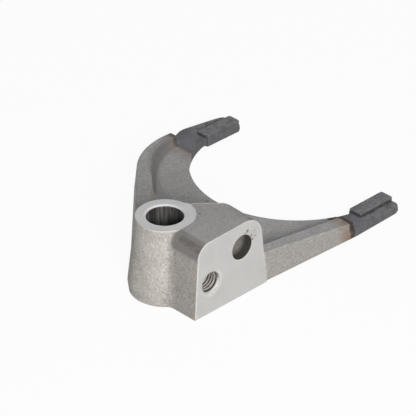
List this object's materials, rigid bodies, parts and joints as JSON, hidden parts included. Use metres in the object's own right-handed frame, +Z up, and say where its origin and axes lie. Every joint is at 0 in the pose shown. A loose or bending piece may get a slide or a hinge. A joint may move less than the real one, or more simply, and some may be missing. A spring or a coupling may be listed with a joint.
{
  "type": "shift fork",
  "caption": "Forged shift fork: a tall bored boss beside a faced block with plain and threaded holes, and rimmed flat arms ending in hardened pads on either side of a wide opening.",
  "frame": {"origin": "on the rail bore's axis at the underside of the boss", "axes": "+Z up the rail bore, +Y from the boss towards the open end of the fork, +X the outward normal of the block's machined side"},
  "size_m": [0.1468, 0.1666, 0.0454],
  "materials": {
    "forged_iron": "shot-blasted forging skin, machined bore, face and ends"
  },
  "bodies": {
    "root": {"shift_fork": "forged_iron"}
  },
  "joints": []
}
